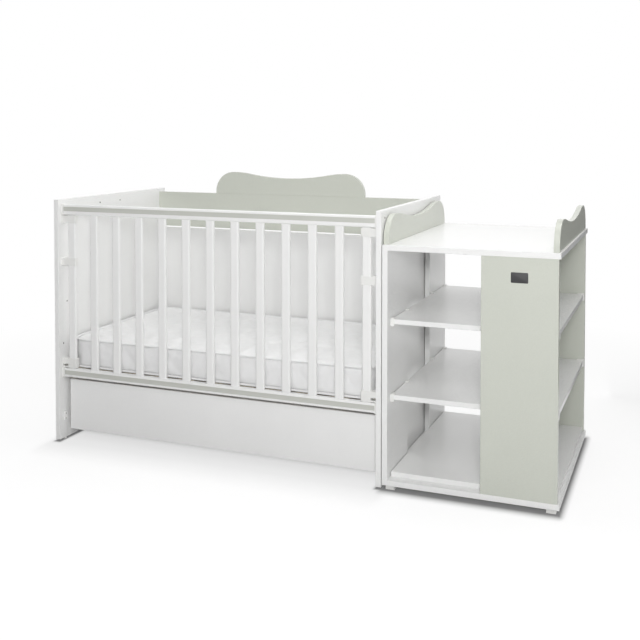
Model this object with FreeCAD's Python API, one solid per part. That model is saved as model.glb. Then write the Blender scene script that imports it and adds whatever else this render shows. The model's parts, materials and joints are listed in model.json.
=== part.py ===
"""Convertible crib with an open shelf unit beside it: white boards, green trim and a drawer under the bed.

Sizes are in millimetres. +X runs along the crib towards the shelf unit, +Y from front to back, +Z up.
The origin is on the floor, under the middle of the whole object.
"""
import FreeCAD, Part
import math
import os

V = FreeCAD.Vector
X_AXIS = V(1, 0, 0)
Y_AXIS = V(0, 1, 0)
Z_AXIS = V(0, 0, 1)

# Boards and fixings used everywhere
board = 18.0
edge_ease = 0.8
fit_gap = 0.05
socket_bevel = 0.55
fixing_sides = 8
screw_radius = 1.8
screw_length = 12.0
screw_head_radius = 3.6
screw_head_height = 1.8
dowel_radius = 4.0
dowel_below = 12.0
dowel_above = 18.0

# End panels of the crib
crib_inner_length = 1227.0
crib_depth = 750.0
end_panel_top = 895.0
glide_height = 6.0
glide_radius = 8.0
glide_inset = 40.0
hole_radius = 3.0
hole_depth = 12.0
accessory_hole_drop = 29.0
accessory_hole_start = 264.0
accessory_hole_spacing = 138.0
upper_base_hole_height = 514.0
upper_base_hole_inset = 50.0
spare_side_hole_inset = 27.0
spare_side_hole_height = 360.0
outer_hole_radius = 4.0
outer_hole_inset = 38.0
outer_hole_drop = 24.0

# Slatted front side
side_setback = 20.0
rail_depth = 24.0
rail_radius = 5.0
top_rail_drop = 18.0
top_rail_height = 38.0
bottom_rail_bottom = 237.0
bottom_rail_height = 33.0
strip_height = 16.0
strip_drop = 8.0
strip_thickness = 3.0
strip_recess = 1.0
strip_clearance = 0.1
slat_count = 13
slat_width = 32.0
slat_thickness = 14.0
slat_radius = 6.0
slat_margin = 24.0
mortise_depth = 8.0
mortise_clearance = 0.2
cap_length = 10.0
cap_wall = 2.0
cap_clearance = 0.1

# Plastic brackets between the outer slats and the end panels
bracket_wall = 3.0
bracket_flange = 3.0
bracket_flange_margin = 5.0
bracket_height = 28.0
bottom_bracket_height = 34.0
bracket_gap = 0.5
bracket_clearance = 0.1
bracket_bevel = 2.0
middle_bracket_drop = 187.0
window_height = 9.0
window_front_room = 5.0
bottom_screw_lift = 8.5

# Oval plates low on the inner faces of the end panels
plate_inset = 33.0
plate_middle_height = 87.0
plate_height = 34.0
plate_width = 16.0
plate_thickness = 4.0
plate_hole_spacing = 18.0
plate_hole_radius = 2.2

# Back of the crib
back_inset = 30.0
back_board_drop = 14.0
back_board_height = 147.0
back_slot = 8.0
back_panel_bottom = 230.0
back_panel_thickness = 16.0
back_panel_setback = 12.0

# Wavy boards: the crest on the back and the guards on the shelf unit
crest_length = 665.0
guard_end_gap = 14.0
hump_rise = 92.0
crest_dip_rise = 69.0
guard_dip_rise = 65.0
shoulder_radius = 82.0
hump_share = 0.3
crest_dowel_spacing = 400.0
guard_dowel_spacing = 440.0

# Slatted base under the mattress
cleat_width = 20.0
cleat_height = 25.0
cleat_end_gap = 75.0
bearer_width = 30.0
bearer_height = 18.0
bearer_inset = 8.0
bearer_end_gap = 0.5
base_slat_count = 11
base_slat_width = 70.0
base_slat_thickness = 12.0
base_bottom = 240.0

# Mattress
mattress_end_gap = 13.5
mattress_front_gap = 5.0
mattress_back_gap = 15.0
mattress_height = 118.0
mattress_lift = 0.3
mattress_corner = 60.0
mattress_draw_in = 5.0
mattress_crown = 9.0
mattress_crown_run = 120.0
piping_height = 12.0
piping_bulge = 4.0
mattress_edge_inset = 12.0

# Drawer under the bed
runner_space = 13.0
drawer_front_setback = 48.0
drawer_front_bottom = 36.0
drawer_front_height = 187.0
drawer_board = 16.0
drawer_back_gap = 60.0
drawer_side_bottom = 47.0
drawer_side_height = 143.0
drawer_floor_thickness = 8.0
drawer_floor_lift = 4.0
drawer_groove_depth = 6.0
drawer_groove_clearance = 0.1

# Roller runners of the drawer
steel = 1.2
runner_front_gap = 6.0
runner_back_gap = 18.0
runner_lip = 10.0
runner_foot = 15.0
channel_height = 34.0
channel_top_lip = 7.0
roller_radius = 10.0
roller_width = 7.0
roller_end_inset = 16.0
roller_pin_radius = 3.0
roller_side_gap = 0.6
rolling_gap = 0.3

# Open shelf unit
unit_gap = 3.0
unit_length = 556.0
unit_top_height = 788.0
foot_size = 30.0
foot_height = 15.0
foot_inset = 10.0
support_width = 233.0
panel_edge_inset = 6.0
panel_setback = 1.0
shelf_setback = 37.0
shelf_end_inset = 10.0
shelf_thickness = 16.0
lower_shelf_top = 299.5
upper_shelf_top = 545.0
clip_width = 24.0
clip_reach = 12.0
clip_lower_lip = 6.0
clip_upper_lip = 3.0
clip_overhang = 3.0
clip_inset = 12.0
clip_clearance = 0.1
clip_web = 2.0

# Bolts that link the shelf unit to the crib
bolt_radius = 3.0
bolt_head_radius = 6.0
bolt_head_height = 2.5
bolt_depth = 12.0
bolt_low_height = 150.0
bolt_top_drop = 88.0
spacer_radius = 9.0

# Planes that the pieces share
overall_length = crib_inner_length + 2 * board + unit_gap + unit_length
crib_left = -overall_length / 2
inner_left = crib_left + board
inner_right = inner_left + crib_inner_length
crib_right = inner_right + board
unit_left = crib_right + unit_gap
unit_right = unit_left + unit_length
front = -crib_depth / 2
back = crib_depth / 2

parts = {}


# Building helpers

def block(x, y, z):
    """Plain block between two values on each axis, given in either order."""
    low = V(min(x), min(y), min(z))
    return Part.makeBox(max(x) - min(x), max(y) - min(y), max(z) - min(z), low)


def eased_board(x, y, z):
    """Board whose edges are all eased, as edge banding leaves them."""
    plain = block(x, y, z)
    return plain.makeChamfer(edge_ease, plain.Edges)


def edges_along(shape, axis):
    """Straight edges of a block that run along an axis."""
    return [edge for edge in shape.Edges if abs(edge.tangentAt(edge.FirstParameter).dot(axis)) > 0.5]


def rounded_bar(x, y, z, radius, axis):
    """Bar along an axis with its four long edges rounded."""
    plain = block(x, y, z)
    return plain.makeFillet(radius, edges_along(plain, axis))


def bevelled_bar(x, y, z, bevel, axis):
    """Bar along an axis with its four long edges bevelled."""
    plain = block(x, y, z)
    return plain.makeChamfer(bevel, edges_along(plain, axis))


def rod(start, direction, radius, length):
    return Part.makeCylinder(radius, length, start, direction)


def peg(start, direction, radius, length):
    """Many-sided rod, for fixings and their holes too small to need a round wall."""
    side = X_AXIS if abs(direction.z) > 0.5 else Z_AXIS
    across = direction.cross(side)
    corners = []
    for index in range(fixing_sides + 1):
        turn = 2 * math.pi * index / fixing_sides
        corners.append(start + side * (radius * math.cos(turn)) + across * (radius * math.sin(turn)))
    return Part.Face(Part.makePolygon(corners)).extrude(direction * length)


def drilled(shape, mouths, direction, radius, depth):
    """Shape with a round hole at each mouth, running the given way."""
    return shape.cut([rod(mouth, direction, radius, depth) for mouth in mouths])


def bored_for_fixings(shape, mouths, direction, radius, depth):
    """Shape with a hole at each mouth that clears a fixing of the given radius."""
    return shape.cut([peg(mouth, direction, radius + fit_gap, depth) for mouth in mouths])


def screw(seat, inward):
    """Round-headed screw whose head sits on the seat and whose shank runs inward."""
    head = peg(seat, -inward, screw_head_radius, screw_head_height)
    shank = peg(seat, inward, screw_radius, screw_length)
    return head.fuse(shank).removeSplitter()


def grown(pair, amount):
    return min(pair) - amount, max(pair) + amount


# Positions on the front side

side_front = front + side_setback
side_y = (side_front, side_front + rail_depth)
side_middle = sum(side_y) / 2
top_rail_z = (end_panel_top - top_rail_drop - top_rail_height, end_panel_top - top_rail_drop)
bottom_rail_z = (bottom_rail_bottom, bottom_rail_bottom + bottom_rail_height)
rail_x = (inner_left + cap_wall, inner_right - cap_wall)
slat_pitch = (crib_inner_length - 2 * slat_margin - slat_width) / (slat_count - 1)
slat_starts = [inner_left + slat_margin + index * slat_pitch for index in range(slat_count)]
slat_bevel = socket_bevel * slat_radius
slat_y = (side_middle - slat_thickness / 2, side_middle + slat_thickness / 2)
slat_z = (bottom_rail_z[1] - mortise_depth, top_rail_z[0] + mortise_depth)
ends = [(inner_left, 1, slat_starts[0]), (inner_right, -1, slat_starts[-1] + slat_width)]
bracket_spans = [
    (bottom_rail_z[1] + cap_wall + bracket_gap, bottom_bracket_height),
    (top_rail_z[0] - middle_bracket_drop, bracket_height),
    (top_rail_z[0] - cap_wall - bracket_gap - bracket_height, bracket_height),
]
bottom_screw_z = bracket_spans[0][0] + bottom_screw_lift
screw_heights = [bottom_screw_z] + [low + height / 2 for low, height in bracket_spans[1:]]
plate_y = front + plate_inset
plate_hole_heights = [plate_middle_height + half * plate_hole_spacing / 2 for half in (-1, 1)]
bolt_rows = [front + support_width / 2, back - support_width / 2]
bolt_heights = [bolt_low_height, unit_top_height - bolt_top_drop]
bolt_places = [(y, z) for y in bolt_rows for z in bolt_heights]


# End panels and the glides that they stand on

def end_panel(inner_face, outward):
    """Panel with holes drilled from its inner face; outward is the way from that face into the board."""
    panel_x = (inner_face, inner_face + outward.x * board)
    shape = eased_board(panel_x, (front, back), (glide_height, end_panel_top))
    accessory_z = end_panel_top - accessory_hole_drop
    places = [
        (front + accessory_hole_start, accessory_z),
        (front + accessory_hole_start + accessory_hole_spacing, accessory_z),
        (front + upper_base_hole_inset, upper_base_hole_height),
        (back - upper_base_hole_inset, upper_base_hole_height),
        (front + spare_side_hole_inset, spare_side_hole_height),
    ]
    shape = drilled(shape, [V(inner_face, y, z) for y, z in places], outward, hole_radius, hole_depth)
    pilots = [V(inner_face, side_middle, z) for z in screw_heights]
    return bored_for_fixings(shape, pilots, outward, screw_radius, screw_length)


parts["left_end_panel"] = end_panel(inner_left, -X_AXIS)
right_panel = end_panel(inner_right, X_AXIS)
outer_hole = V(crib_right, front + outer_hole_inset, end_panel_top - outer_hole_drop)
right_panel = drilled(right_panel, [outer_hole], -X_AXIS, outer_hole_radius, hole_depth)
bolt_mouths = [V(inner_right, y, z) for y, z in bolt_places]
parts["right_end_panel"] = bored_for_fixings(right_panel, bolt_mouths, X_AXIS, bolt_radius, board)

parts["end_panel_glides"] = Part.makeCompound([
    peg(V(x, y, 0), Z_AXIS, glide_radius, glide_height)
    for x in (inner_left - board / 2, inner_right + board / 2)
    for y in (front + glide_inset, back - glide_inset)
])


# Front side: two grooved rails, their inlaid strips, mortised slats and end caps

def strip_span(rail_z):
    strip_top = rail_z[1] - strip_drop
    return strip_top - strip_height, strip_top


def rail(z, mortise_z):
    """Rounded rail with a groove for its strip and a mortise for every slat."""
    shape = rounded_bar(rail_x, side_y, z, rail_radius, X_AXIS)
    groove_back = side_front + strip_recess + strip_thickness
    cutters = [block(rail_x, (side_front, groove_back), grown(strip_span(z), strip_clearance))]
    for start in slat_starts:
        mortise_x = grown((start, start + slat_width), mortise_clearance)
        mortise_y = grown(slat_y, mortise_clearance)
        cutters.append(bevelled_bar(mortise_x, mortise_y, mortise_z, slat_bevel, Z_AXIS))
    return shape.cut(cutters)


parts["front_top_rail"] = rail(top_rail_z, (top_rail_z[0], slat_z[1]))
parts["front_bottom_rail"] = rail(bottom_rail_z, (slat_z[0], bottom_rail_z[1]))
strip_y = (side_front + strip_recess, side_front + strip_recess + strip_thickness)
strip_x = (inner_left + cap_length, inner_right - cap_length)
parts["front_strips"] = Part.makeCompound([
    block(strip_x, strip_y, strip_span(z)) for z in (top_rail_z, bottom_rail_z)
])

for number, start in enumerate(slat_starts, start=1):
    slat = rounded_bar((start, start + slat_width), slat_y, slat_z, slat_radius, Z_AXIS)
    parts[f"front_slat_{number:02d}"] = slat


def rail_end_cap(face, way, z):
    """Plastic cap over a rail's end, closed against the end panel."""
    bevel = socket_bevel * rail_radius
    outer_x = (face, face + way * cap_length)
    outer = bevelled_bar(outer_x, grown(side_y, cap_wall), grown(z, cap_wall), bevel, X_AXIS)
    socket_x = (face + way * cap_wall, face + way * (cap_length + cap_wall))
    socket = bevelled_bar(socket_x, grown(side_y, cap_clearance), grown(z, cap_clearance), bevel, X_AXIS)
    return outer.cut(socket)


parts["rail_end_caps"] = Part.makeCompound([
    rail_end_cap(face, way, z) for face, way, _ in ends for z in (top_rail_z, bottom_rail_z)
])


# Brackets that wrap the outer slats, their screws and the oval plates

def side_bracket(face, way, slat_outer, z, screw_z):
    """Collar round the outer slat, with an arm to a flange on the end panel and a window for the screw.

    The window opens to the back, and in the bottom bracket to the front too.
    """
    collar_y = grown(slat_y, bracket_wall)
    far_end = slat_outer + way * (slat_width + bracket_wall)
    body = bevelled_bar((face, far_end), collar_y, z, bracket_bevel, Z_AXIS)
    flange_y = grown(collar_y, bracket_flange_margin)
    flange = bevelled_bar((face, face + way * bracket_flange), flange_y, z, bracket_bevel, X_AXIS)
    hole_x = grown((slat_outer, slat_outer + way * slat_width), bracket_clearance)
    slat_hole = bevelled_bar(hole_x, grown(slat_y, bracket_clearance), z, slat_bevel, Z_AXIS)
    window_x = (face + way * bracket_flange, slat_outer)
    window_front = collar_y[0] if screw_z == bottom_screw_z else side_middle - window_front_room
    window_z = grown((screw_z, screw_z), window_height / 2)
    window = block(window_x, (window_front, collar_y[1]), window_z)
    hollow = body.fuse(flange).cut([slat_hole, window])
    screw_mouth = V(face, side_middle, screw_z)
    return bored_for_fixings(hollow, [screw_mouth], V(way, 0, 0), screw_radius, bracket_flange)


parts["side_brackets"] = Part.makeCompound([
    side_bracket(face, way, slat_outer, (low, low + height), screw_z)
    for face, way, slat_outer in ends for (low, height), screw_z in zip(bracket_spans, screw_heights)
])


def oval_plate(face, way):
    """Oval plate on an end panel, with two holes one above the other."""
    radius = plate_width / 2
    inward = V(way, 0, 0)
    reach = plate_height / 2 - radius
    span = (plate_middle_height - reach, plate_middle_height + reach)
    round_ends = [rod(V(face, plate_y, z), inward, radius, plate_thickness) for z in span]
    middle = block((face, face + way * plate_thickness), grown((plate_y, plate_y), radius), span)
    plate = middle.fuse(round_ends).removeSplitter()
    mouths = [V(face, plate_y, z) for z in plate_hole_heights]
    return bored_for_fixings(plate, mouths, inward, plate_hole_radius, plate_thickness)


parts["fixing_plates"] = Part.makeCompound([oval_plate(face, way) for face, way, _ in ends])

side_screws = []
for face, way, _ in ends:
    for screw_z in screw_heights:
        seat = V(face + way * bracket_flange, side_middle, screw_z)
        side_screws.append(screw(seat, V(-way, 0, 0)))
parts["side_screws"] = Part.makeCompound(side_screws)


# Back of the crib: green board above a white panel, with a wavy crest on top

back_board_y = (back - back_inset - board, back - back_inset)
back_board_top = end_panel_top - back_board_drop
back_board_z = (back_board_top - back_board_height, back_board_top)
back_panel_face = back_board_y[0] + back_panel_setback
back_panel_y = (back_panel_face, back_panel_face + back_panel_thickness)
inner_x = (inner_left, inner_right)
crib_middle = (inner_left + inner_right) / 2


def arc_point(centre, radius, degrees):
    angle = math.radians(degrees)
    return V(centre[0] + radius * math.cos(angle), 0, centre[1] + radius * math.sin(angle))


def arc(centre, radius, first, last):
    """Arc in the XZ plane between two angles in degrees."""
    angles = (first, (first + last) / 2, last)
    return Part.Arc(*[arc_point(centre, radius, degrees) for degrees in angles]).toShape()


def wavy_board(length, dip_rise):
    """Board on z = 0, centred on x = 0: round shoulders and two humps with a long dip between them."""
    half = length / 2
    shoulder = min(shoulder_radius, hump_rise - 2 * edge_ease)
    run = half - shoulder
    drop = hump_rise - dip_rise
    radius_sum = (run ** 2 + drop ** 2) / (2 * drop)
    swing = math.degrees(math.asin(run / radius_sum))
    hump_radius = hump_share * radius_sum
    dip_radius = radius_sum - hump_radius
    shoulder_z = hump_rise - shoulder
    hump_z = hump_rise - hump_radius
    wire = Part.Wire([
        Part.LineSegment(V(half, 0, 0), V(half, 0, shoulder_z)).toShape(),
        arc((run, shoulder_z), shoulder, 0, 90),
        arc((run, hump_z), hump_radius, 90, 90 + swing),
        arc((0, dip_rise + dip_radius), dip_radius, swing - 90, -swing - 90),
        arc((-run, hump_z), hump_radius, 90 - swing, 90),
        arc((-run, shoulder_z), shoulder, 90, 180),
        Part.LineSegment(V(-half, 0, shoulder_z), V(-half, 0, 0)).toShape(),
        Part.LineSegment(V(-half, 0, 0), V(half, 0, 0)).toShape(),
    ])
    wire.translate(V(0, -board / 2, 0))
    plain = Part.Face(wire).extrude(V(0, board, 0))
    return plain.makeChamfer(edge_ease, plain.Edges)


def dowel_row(middle, along, spacing):
    """Feet of two dowels, spaced evenly about a middle point."""
    return [middle + along * (half * spacing / 2) for half in (-1, 1)]


def doweled(base, feet):
    """Board below a doweled joint, drilled down from the feet of its dowels."""
    return bored_for_fixings(base, feet, -Z_AXIS, dowel_radius, dowel_below)


def standing_on_dowels(shape, feet):
    """Board above a doweled joint, drilled up from the feet of its dowels."""
    return bored_for_fixings(shape, feet, Z_AXIS, dowel_radius, dowel_above + fit_gap)


crest_foot = V(crib_middle, sum(back_board_y) / 2, back_board_z[1])
crest_feet = dowel_row(crest_foot, X_AXIS, crest_dowel_spacing)
crest = wavy_board(crest_length, crest_dip_rise)
crest.translate(crest_foot)
parts["back_crest"] = standing_on_dowels(crest, crest_feet)
parts["back_board"] = doweled(eased_board(inner_x, back_board_y, back_board_z), crest_feet)
parts["back_panel"] = eased_board(inner_x, back_panel_y, (back_panel_bottom, back_board_z[0] - back_slot))


# Slatted base on two cleats

cleat_y = (front + cleat_end_gap, back - cleat_end_gap)
base_y = grown(cleat_y, bearer_inset)
bearer_z = (base_bottom, base_bottom + bearer_height)
base_slat_z = (bearer_z[1], bearer_z[1] + base_slat_thickness)
bearer_x = (inner_left + bearer_end_gap, inner_right - bearer_end_gap)

parts["base_cleats"] = Part.makeCompound([
    eased_board((face, face + way * cleat_width), cleat_y, (base_bottom - cleat_height, base_bottom))
    for face, way, _ in ends
])
parts["base_bearers"] = Part.makeCompound([
    eased_board(bearer_x, (base_y[0], base_y[0] + bearer_width), bearer_z),
    eased_board(bearer_x, (base_y[1] - bearer_width, base_y[1]), bearer_z),
])
base_slat_pitch = (bearer_x[1] - bearer_x[0] - base_slat_width) / (base_slat_count - 1)
base_slat_starts = [bearer_x[0] + index * base_slat_pitch for index in range(base_slat_count)]
parts["base_slats"] = Part.makeCompound([
    eased_board((start, start + base_slat_width), base_y, base_slat_z) for start in base_slat_starts
])


# Mattress: piped edges, sides drawn in between the corners and a crowned top

mattress_length = crib_inner_length - 2 * mattress_end_gap
mattress_y = (side_y[1] + mattress_front_gap, back_panel_face - mattress_back_gap)
mattress_width = mattress_y[1] - mattress_y[0]
mattress_middle = V(crib_middle, sum(mattress_y) / 2, base_slat_z[1] + mattress_lift)


def mattress_outline(inset, height):
    """Closed outline of round corners joined by sides that bow in."""
    half_x = mattress_length / 2 - inset
    half_y = mattress_width / 2 - inset
    lean = mattress_corner * math.sqrt(0.5)
    edges = []
    for turn in range(4):
        along, across = (half_x, half_y) if turn % 2 == 0 else (half_y, half_x)
        bend_x = along - mattress_corner
        bend_y = across - mattress_corner
        side_start = V(along, -bend_y, height)
        side_middle_point = V(along - mattress_draw_in, 0, height)
        side_end = V(along, bend_y, height)
        bend_middle = V(bend_x + lean, bend_y + lean, height)
        bend_end = V(bend_x, across, height)
        for arc_points in ((side_start, side_middle_point, side_end), (side_end, bend_middle, bend_end)):
            edge = Part.Arc(*arc_points).toShape()
            edge.rotate(V(0, 0, 0), Z_AXIS, 90 * turn)
            edges.append(edge)
    return Part.Wire(edges)


def mattress():
    """Loft up through the lower piping, the side, the upper piping and the crown."""
    shoulder = mattress_height - mattress_crown
    sections = [
        (mattress_edge_inset, 0),
        (0, piping_height / 2),
        (piping_bulge, piping_height),
        (piping_bulge, shoulder - piping_height),
        (0, shoulder - piping_height / 2),
        (mattress_edge_inset, shoulder),
        (mattress_crown_run, mattress_height),
    ]
    shape = Part.makeLoft([mattress_outline(inset, height) for inset, height in sections], True, True)
    shape.translate(mattress_middle)
    return shape


parts["mattress"] = mattress()


# Drawer box

drawer_x = (inner_left + runner_space, inner_right - runner_space)
drawer_front_y = (front + drawer_front_setback, front + drawer_front_setback + board)
drawer_y = (drawer_front_y[1], back - drawer_back_gap)
drawer_side_z = (drawer_side_bottom, drawer_side_bottom + drawer_side_height)
drawer_floor_bottom = drawer_side_bottom + drawer_floor_lift
drawer_floor_z = (drawer_floor_bottom, drawer_floor_bottom + drawer_floor_thickness)
drawer_inner_x = (drawer_x[0] + drawer_board, drawer_x[1] - drawer_board)
drawer_floor_x = grown(drawer_inner_x, drawer_groove_depth)


def drawer_side(outer, way):
    """Side board with a groove for the drawer's floor."""
    shape = eased_board((outer, outer + way * drawer_board), drawer_y, drawer_side_z)
    inner = outer + way * drawer_board
    groove_x = (inner, inner - way * (drawer_groove_depth + drawer_groove_clearance))
    return shape.cut(block(groove_x, drawer_y, grown(drawer_floor_z, drawer_groove_clearance)))


parts["drawer_front"] = eased_board(drawer_x, drawer_front_y,
                                    (drawer_front_bottom, drawer_front_bottom + drawer_front_height))
parts["drawer_side_left"] = drawer_side(drawer_x[0], 1)
parts["drawer_side_right"] = drawer_side(drawer_x[1], -1)
parts["drawer_back"] = eased_board(drawer_inner_x, (drawer_y[1] - drawer_board, drawer_y[1]),
                                   (drawer_floor_z[1], drawer_side_z[1]))
parts["drawer_floor"] = block(drawer_floor_x, drawer_y, drawer_floor_z)


# Roller runners: a channel on each end panel and a rail on each drawer side

runner_y = (drawer_y[0] + runner_front_gap, drawer_y[1] - runner_back_gap)
runner_floor_z = (drawer_side_bottom - steel, drawer_side_bottom)
drawer_roller_z = runner_floor_z[1] + rolling_gap + roller_radius
rail_lip_bottom = drawer_roller_z + roller_radius + 2 * rolling_gap
channel_roller_z = rail_lip_bottom - rolling_gap - roller_radius
channel_roller_y = runner_y[0] + roller_end_inset
drawer_roller_y = runner_y[1] - roller_end_inset


def roller_pin(seat_x, way, y, z):
    reach = 2 * roller_side_gap + roller_width
    return rod(V(seat_x, y, z), V(way, 0, 0), roller_pin_radius, reach)


def runner_channel(face, way):
    """Steel channel on an end panel, open towards the drawer, with the pin of its front roller."""
    top_z = runner_floor_z[0] + channel_height
    web = block((face, face + way * steel), runner_y, (runner_floor_z[0], top_z))
    floor = block((face, face + way * (steel + runner_lip - roller_side_gap)), runner_y, runner_floor_z)
    lip = block((face, face + way * (steel + channel_top_lip)), runner_y, (top_z - steel, top_z))
    pin = roller_pin(face + way * steel, way, channel_roller_y, channel_roller_z)
    return web.fuse([floor, lip, pin]).removeSplitter()


def drawer_runner(side_face, way):
    """Steel rail on a drawer side: a foot under the side, a web and a lip that rides on a roller."""
    web_z = (runner_floor_z[0], rail_lip_bottom + steel)
    web_face = side_face - way * steel
    web = block((side_face, web_face), runner_y, web_z)
    foot = block((web_face, side_face + way * runner_foot), runner_y, runner_floor_z)
    lip = block((side_face, web_face - way * (runner_lip - 2 * roller_side_gap)), runner_y,
                (rail_lip_bottom, rail_lip_bottom + steel))
    pin = roller_pin(web_face, -way, drawer_roller_y, drawer_roller_z)
    return web.fuse([foot, lip, pin]).removeSplitter()


def roller(seat_x, way, y, z):
    """Nylon roller on its pin, one side gap away from the steel that carries the pin."""
    start = V(seat_x + way * roller_side_gap, y, z)
    along = V(way, 0, 0)
    return rod(start, along, roller_radius, roller_width).cut(
        rod(start, along, roller_pin_radius + fit_gap, roller_width))


for name, face, way in (("left", inner_left, 1), ("right", inner_right, -1)):
    side_face = face + way * runner_space
    parts[f"runner_channel_{name}"] = runner_channel(face, way)
    parts[f"drawer_runner_{name}"] = drawer_runner(side_face, way)
    parts[f"channel_roller_{name}"] = roller(face + way * steel, way, channel_roller_y, channel_roller_z)
    parts[f"drawer_roller_{name}"] = roller(side_face - way * steel, -way, drawer_roller_y, drawer_roller_z)


# Shelf unit: base and top, two white boards on the left, two green panels on the right and the shelves

unit_x = (unit_left, unit_right)
unit_y = (front, back)
unit_base_z = (foot_height, foot_height + board)
unit_top_z = (unit_top_height - board, unit_top_height)
support_z = (unit_base_z[1], unit_top_z[0])
left_board_x = (unit_left, unit_left + board)
panel_x = (unit_right - panel_edge_inset - support_width, unit_right - panel_edge_inset)
front_panel_y = (front + panel_setback, front + panel_setback + board)
rear_panel_y = (back - panel_setback - board, back - panel_setback)
shelf_x = (left_board_x[1] + clip_web, unit_right - shelf_end_inset)
shelf_y = (front + shelf_setback, rear_panel_y[0] - clip_web)

parts["unit_feet"] = Part.makeCompound([
    eased_board((x, x + way_x * foot_size), (y, y + way_y * foot_size), (0, foot_height))
    for x, way_x in ((unit_left + foot_inset, 1), (unit_right - foot_inset, -1))
    for y, way_y in ((front + foot_inset, 1), (back - foot_inset, -1))
])
parts["unit_base"] = eased_board(unit_x, unit_y, unit_base_z)


def left_board(y, row):
    """White board beside the crib, with blind holes for the linking bolts."""
    shape = eased_board(left_board_x, y, support_z)
    mouths = [V(unit_left, row, z) for z in bolt_heights]
    return bored_for_fixings(shape, mouths, X_AXIS, bolt_radius, bolt_depth)


parts["unit_left_front_board"] = left_board((front, front + support_width), bolt_rows[0])
parts["unit_left_rear_board"] = left_board((back - support_width, back), bolt_rows[1])
parts["unit_front_panel"] = eased_board(panel_x, front_panel_y, support_z)
parts["unit_rear_panel"] = eased_board(panel_x, rear_panel_y, support_z)

shelf_spans = {
    "lower": (lower_shelf_top - shelf_thickness, lower_shelf_top),
    "upper": (upper_shelf_top - shelf_thickness, upper_shelf_top),
}
parts["unit_bottom_shelf"] = eased_board(shelf_x, shelf_y, (unit_base_z[1], unit_base_z[1] + shelf_thickness))
for name, shelf_z in shelf_spans.items():
    parts[f"unit_{name}_shelf"] = eased_board(shelf_x, shelf_y, shelf_z)


def shelf_clip(x, y, shelf_z):
    """Plastic clip with a lip under the shelf's edge and a thin one over it."""
    body = block(x, y, (shelf_z[0] - clip_lower_lip, shelf_z[1] + clip_upper_lip))
    slot = block(shelf_x, grown(shelf_y, clip_clearance), (shelf_z[0], shelf_z[1] + clip_clearance))
    return body.cut(slot)


shelf_front_corner = shelf_y[0] - clip_overhang
shelf_rear_corner = shelf_y[1] + clip_overhang
left_clip_x = (left_board_x[1], left_board_x[1] + clip_reach)
left_clip_rows = [
    (shelf_front_corner, shelf_front_corner + clip_width),
    (front + support_width - clip_inset - clip_width, front + support_width - clip_inset),
    (back - support_width + clip_inset, back - support_width + clip_inset + clip_width),
    (shelf_rear_corner - clip_width, shelf_rear_corner),
]
panel_clip_columns = [
    (panel_x[0] + clip_inset, panel_x[0] + clip_inset + clip_width),
    (shelf_x[1] + clip_overhang - clip_width, shelf_x[1] + clip_overhang),
]
panel_clip_rows = [
    (front_panel_y[1], shelf_y[0] + clip_reach),
    (shelf_y[1] - clip_reach, rear_panel_y[0]),
]
clips = []
for shelf_z in shelf_spans.values():
    clips += [shelf_clip(left_clip_x, row, shelf_z) for row in left_clip_rows]
    clips += [shelf_clip(column, row, shelf_z) for column in panel_clip_columns for row in panel_clip_rows]
parts["shelf_clips"] = Part.makeCompound(clips)


# Top of the shelf unit with a guard at each side

guard_length = crib_depth - 2 * guard_end_gap
guard_middles = {"left": unit_left + board / 2, "right": panel_x[1] - board / 2}
guard_feet = {
    name: dowel_row(V(x, 0, unit_top_height), Y_AXIS, guard_dowel_spacing)
    for name, x in guard_middles.items()
}
all_guard_feet = guard_feet["left"] + guard_feet["right"]
parts["unit_top"] = doweled(eased_board(unit_x, unit_y, unit_top_z), all_guard_feet)
for name, x in guard_middles.items():
    guard = wavy_board(guard_length, guard_dip_rise)
    guard.rotate(V(0, 0, 0), Z_AXIS, 90)
    guard.translate(V(x, 0, unit_top_height))
    parts[f"guard_{name}"] = standing_on_dowels(guard, guard_feet[name])

parts["dowels"] = Part.makeCompound([
    peg(foot - Z_AXIS * dowel_below, Z_AXIS, dowel_radius, dowel_below + dowel_above)
    for foot in crest_feet + all_guard_feet
])


# Bolts through the crib's right end panel into the shelf unit, with a spacer on each

def linking_bolt(y, z):
    seat = V(inner_right, y, z)
    head = peg(seat, -X_AXIS, bolt_head_radius, bolt_head_height)
    shank = peg(seat, X_AXIS, bolt_radius, board + unit_gap + bolt_depth)
    return head.fuse(shank).removeSplitter()


def spacer(y, z):
    start = V(crib_right, y, z)
    disc = peg(start, X_AXIS, spacer_radius, unit_gap)
    return bored_for_fixings(disc, [start], X_AXIS, bolt_radius, unit_gap)


parts["linking_bolts"] = Part.makeCompound([linking_bolt(y, z) for y, z in bolt_places])
parts["link_spacers"] = Part.makeCompound([spacer(y, z) for y, z in bolt_places])


# Write one file for each piece or group of like pieces

os.makedirs("parts", exist_ok=True)
for name, shape in parts.items():
    shape.exportStep(f"parts/{name}.step")
    print(name, "solids", len(shape.Solids), "valid", shape.isValid())
print("pieces written:", len(parts))
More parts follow.
